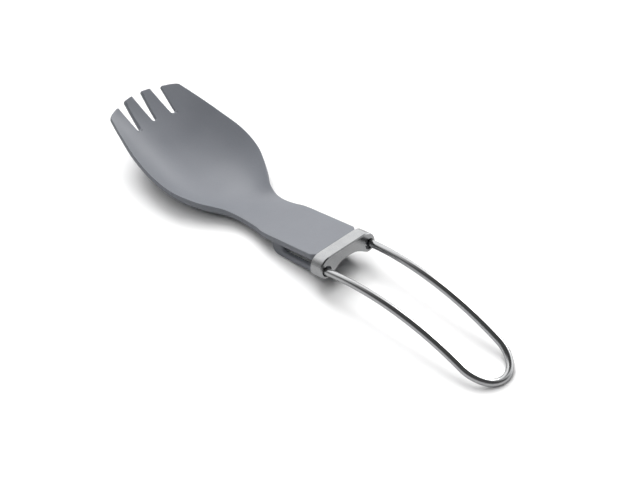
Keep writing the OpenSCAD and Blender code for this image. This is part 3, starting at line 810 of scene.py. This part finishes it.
def fill(u, loops):
    """Flat face inside the first loop and outside the others: a Delaunay net of their points, less
    the triangles whose middle an even number of loops goes round."""
    flat = np.vstack(loops)
    start = np.cumsum([0] + [len(path) for path in loops])
    sides = [(begin + i, begin + (i + 1) % (end - begin))
             for begin, end in zip(start[:-1], start[1:]) for i in range(end - begin)]
    net = delaunay_2d_cdt([Vector(point) for point in flat], sides, [], 0, 1e-6)
    spots, cells = np.array([list(point) for point in net[0]]), np.array(net[2])
    mid_x, mid_y = np.moveaxis(spots[cells].mean(1)[:, None], -1, 0)
    a, b = flat[[i for i, _ in sides]], flat[[j for _, j in sides]]
    with np.errstate(divide="ignore", invalid="ignore"):
        cut = a[:, 0] + (mid_y - a[:, 1]) * (b - a)[:, 0] / (b - a)[:, 1]
    crossed = ((a[:, 1] > mid_y) != (b[:, 1] > mid_y)) & (mid_x < cut)
    return at_u(u, spots), cells[crossed.sum(1) % 2 == 1]


# Front face and the inside of the front wall. The front face's outline steps in, on each side,
# from its own foot of the arch to the inner one.
raised = np.linspace(flat_inset, WALL, 5)[1:-1]
hook = np.column_stack([arch_foot(raised), COLLAR_LOW + raised])
front_edge = np.vstack([collar_path(flat_inset), hook, arch[::-1], (hook * [-1, 1])[::-1]])
inside_edge = np.vstack([collar_path(WALL), arch[-2:0:-1]])
for u, edge, radius in ((front_u, front_edge, HOLE_R + HOLE_EDGE), (inside_u, inside_edge, HOLE_R)):
    spots, cells = fill(u, [edge, hole_ring(1, radius), hole_ring(-1, radius)])
    collar_faces.append(cells + sum(map(len, collar_points)))
    collar_points.append(spots)
collar = mesh_piece("collar", neck_to_row(np.vstack(collar_points)), collar_faces)
collar.data.set_sharp_from_angle(angle=np.radians(30))
collar.modifiers.new("flat faces", "WEIGHTED_NORMAL").keep_sharp = True

# Satin steel, brushed across the neck
collar_steel = bpy.data.materials.new("collar_steel")
look = Finish(collar_steel)
place = look.object_place()
brushed = look.noise(place, 9.0, 2.0, (1, 0.03, 1))
smear = look.noise(place, 0.3, 3.0)
tone = look.mix(smear.step(0.35, 0.7) * 0.5, shade(192, 193, 194), shade(180, 181, 183))
look.surface(Base_Color=tone, Metallic=1.0, Roughness=0.21 + 0.05 * brushed + 0.03 * smear,
             Normal=look.bump(0.05, 0.00001, brushed))
dress([collar], collar_steel, "collar", "lock_collar")


# Camera, in the photograph's view: beyond the handle, on the near side, and above.
# Bearing from the near side towards the handle, height angle and distance from the table below
# the neck's end, then how far it stands to the right and up, its lens and its sensor's width
CAMERA_AZ, CAMERA_EL, CAMERA_FAR = np.radians(45.44), np.radians(40.24), 437.0
CAMERA_RIGHT, CAMERA_UP, LENS, SENSOR_W = -4.713, 9.208, 78.75, 36.0


def stand(thing, right, up, back, place):
    """Links a camera or lamp and stands it at a place in metres, with its three axes."""
    bpy.context.scene.collection.objects.link(thing)
    thing.matrix_world = Matrix([*np.column_stack([right, up, back, place]).tolist(), [0, 0, 0, 1]])


camera = bpy.data.objects.new("camera", bpy.data.cameras.new("camera"))
camera.data.sensor_width, camera.data.lens = SENSOR_W, LENS
camera.data.clip_start, camera.data.clip_end = 0.01, 20
back = np.array([np.sin(CAMERA_AZ) * np.cos(CAMERA_EL), -np.cos(CAMERA_AZ) * np.cos(CAMERA_EL),
                 np.sin(CAMERA_EL)])
right = np.array([np.cos(CAMERA_AZ), np.sin(CAMERA_AZ), 0])
up = np.cross(back, right)
spot = CAMERA_FAR * back + CAMERA_RIGHT * right + CAMERA_UP * up + [NECK_X, 0, 0]
stand(camera, right, up, back, spot / 1000)
bpy.context.scene.camera = camera
bpy.context.scene.view_settings.view_transform = "Standard"


# Lamps: large soft ones all round, far enough away to be even over the table
LAMP_FAR = 3.4


def softbox(name, azimuth, elevation, width, height, light):
    """Rectangular lamp that faces the object. Its power is pi times the light that it gives a face
    turned towards it, times the distance squared."""
    az, el = np.radians([azimuth, elevation])
    away = np.array([np.cos(az) * np.cos(el), np.sin(az) * np.cos(el), np.sin(el)])
    side = unit(np.cross([0, 0, 1], away))
    lamp = bpy.data.objects.new(name, bpy.data.lights.new(name, "AREA"))
    lamp.data.shape, lamp.data.size, lamp.data.size_y = "RECTANGLE", width, height
    lamp.data.energy = np.pi * light * LAMP_FAR**2
    stand(lamp, side, np.cross(away, side), away, away * LAMP_FAR)
    return lamp


key = softbox("key", 158, 50, 2.0, 1.7, 1.75)
window = softbox("window", 98, 28, 1.8, 1.3, 1.15)
front_lamp = softbox("front", 296, 58, 1.9, 1.9, 1.05)
overhead = softbox("overhead", 200, 72, 1.9, 1.9, 0.4)
table_lamp = softbox("table lamp", 140, 80, 2.6, 2.6, 1.7)
for lamp in (front_lamp, overhead, table_lamp):
    lamp.visible_glossy = False

# Table: a matte white top, 2 m square, that the camera sees as pure white outside the shadow
TABLE_HALF = 1.0
corners = [(-TABLE_HALF, -TABLE_HALF, 0), (TABLE_HALF, -TABLE_HALF, 0),
           (TABLE_HALF, TABLE_HALF, 0), (-TABLE_HALF, TABLE_HALF, 0)]
floor_mesh = bpy.data.meshes.new("floor")
floor_mesh.from_pydata(corners, [], [(0, 1, 2, 3)])
floor = bpy.data.objects.new("floor", floor_mesh)
bpy.context.scene.collection.objects.link(floor)
table_white = bpy.data.materials.new("table white")
look = Finish(table_white)
seen = look.node("ShaderNodeLightPath", {}, {}, "Is Camera Ray")
look.surface(Base_Color=look.mix(seen, shade(184, 184, 184), shade(255, 255, 255)),
             Roughness=0.9, Specular_IOR_Level=0.0)
floor_mesh.materials.append(table_white)


def link_light(lamp, name, pieces, state):
    """Ties a lamp to some pieces: it lights only them, or all but them."""
    group = bpy.data.collections.new(name)
    for k, piece in enumerate(pieces):
        group.objects.link(piece)
        group.collection_objects[k].light_linking.link_state = state
    lamp.light_linking.receiver_collection = group


# The table's own lamp keeps it white without more light on the object. The window lamp would
# draw shadows on the table that aren't wanted, and the key lamp broad glints on the steel.
link_light(table_lamp, "table only", [floor], "INCLUDE")
link_light(window, "not the table", [floor], "EXCLUDE")
link_light(key, "not the steel", [wire, collar], "EXCLUDE")

# Studio: the camera, reflections and glass see a bright backdrop up to a height behind the
# object, and elsewhere a dim room that is a little brighter low down. Its light is dim and even.
ROOM, ROOM_GLOW, BACKDROP = 0.08, 0.3, 1.15
world = bpy.data.worlds.new("studio")
bpy.context.scene.world = world
look = Finish(world)
ray = look.node("ShaderNodeTexCoord", {}, {}, "Generated")
to_back, height = [look.node("ShaderNodeVectorMath", {"operation": "DOT_PRODUCT"},
                             {0: ray, 1: axis}, "Value") for axis in ((-0.66, 0.75, 0), (0, 0, 1))]
backdrop = to_back.step(-0.1, 0.5) * (1 - height.step(0.7, 0.88))
glow = 1 - height.step(0.05, 0.45)
picture = ROOM + ROOM_GLOW * glow * (1 - backdrop) + BACKDROP * backdrop
by_camera, by_gloss, by_glass = [look.node("ShaderNodeLightPath", {}, {}, "Is %s Ray" % kind)
                                 for kind in ("Camera", "Glossy", "Transmission")]
seen = by_camera.math("MAXIMUM", by_gloss).math("MAXIMUM", by_glass)
radiance = ROOM + seen * (picture - ROOM)
look.tree.links.new(radiance.socket, look.tree.nodes["Background"].inputs["Strength"])
look.tree.nodes["Background"].inputs["Color"].default_value = (1, 1, 1, 1)
